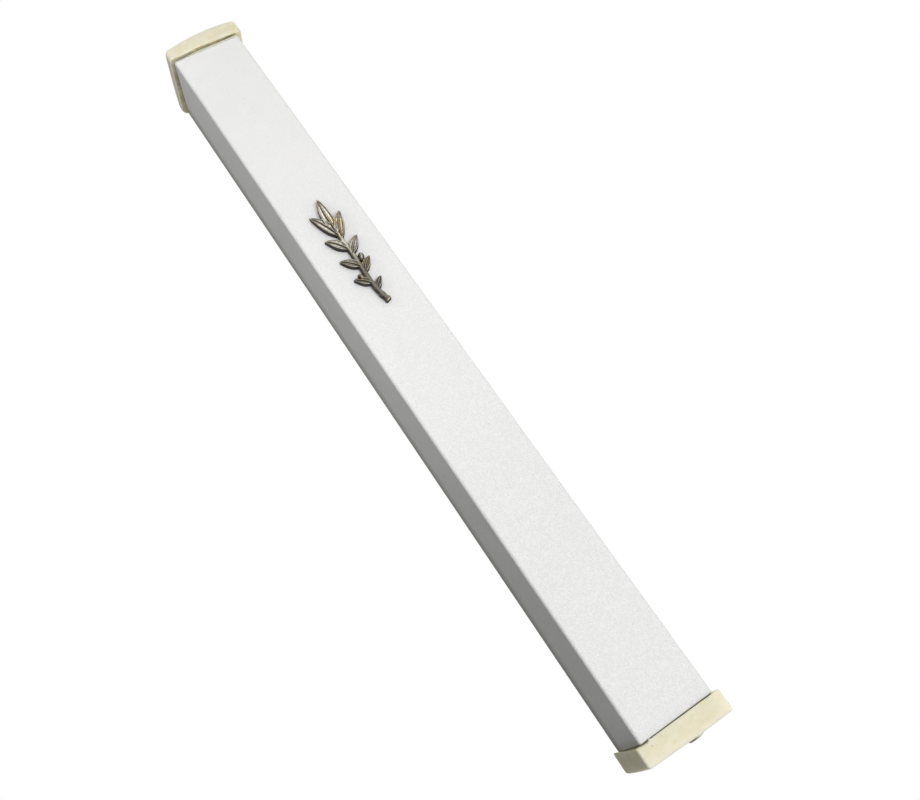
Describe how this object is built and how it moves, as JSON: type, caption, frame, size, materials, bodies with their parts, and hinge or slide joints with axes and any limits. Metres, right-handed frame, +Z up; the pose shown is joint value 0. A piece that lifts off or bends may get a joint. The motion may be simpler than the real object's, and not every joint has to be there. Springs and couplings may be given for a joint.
{
  "type": "mezuzah case",
  "caption": "Slim square tube case for a rolled parchment, closed by a rubber plug at each end, with a small cast sprig ornament on its front and a foam tape on its back.",
  "frame": {"origin": "centre of the adhesive strip's outer face, which lies on the doorpost, at half the tube's length", "axes": "+Z up the case towards the upper plug, +Y out of the back into the doorpost, -Y the front that carries the emblem"},
  "size_m": [0.0187, 0.0202, 0.1828],
  "materials": {
    "tube": "white powder coat with a fine grain",
    "plug": "matt cream rubber",
    "emblem": "antiqued bronze, dark in the hollows and worn bright on the rims",
    "glue": "clear set glue",
    "tape": "white closed-cell foam with a tacky face",
    "parchment": "smooth cream parchment, blank",
    "film": "clear film"
  },
  "bodies": {
    "case": {"tube_body": "tube", "emblem": "emblem", "emblem_adhesive": "glue", "adhesive_strip": "tape"},
    "upper_plug": {"upper_plug": "plug"},
    "lower_plug": {"lower_plug": "plug"},
    "scroll": {"parchment_scroll": "parchment", "scroll_sleeve": "film"}
  },
  "joints": [
    {"name": "upper_plug_pull", "type": "slide", "parent": "case", "child": "upper_plug", "axis": [0, 0, 1], "range_m": [0, 0.03]},
    {"name": "lower_plug_pull", "type": "slide", "parent": "case", "child": "lower_plug", "axis": [0, 0, -1], "range_m": [0, 0.19]},
    {"name": "scroll_slide", "type": "slide", "parent": "case", "child": "scroll", "axis": [0, 0, -1], "range_m": [0, 0.171]}
  ],
  "couplings": [
    {"joint": "scroll_slide", "follows": "lower_plug_pull", "ratio": 0.9}
  ]
}
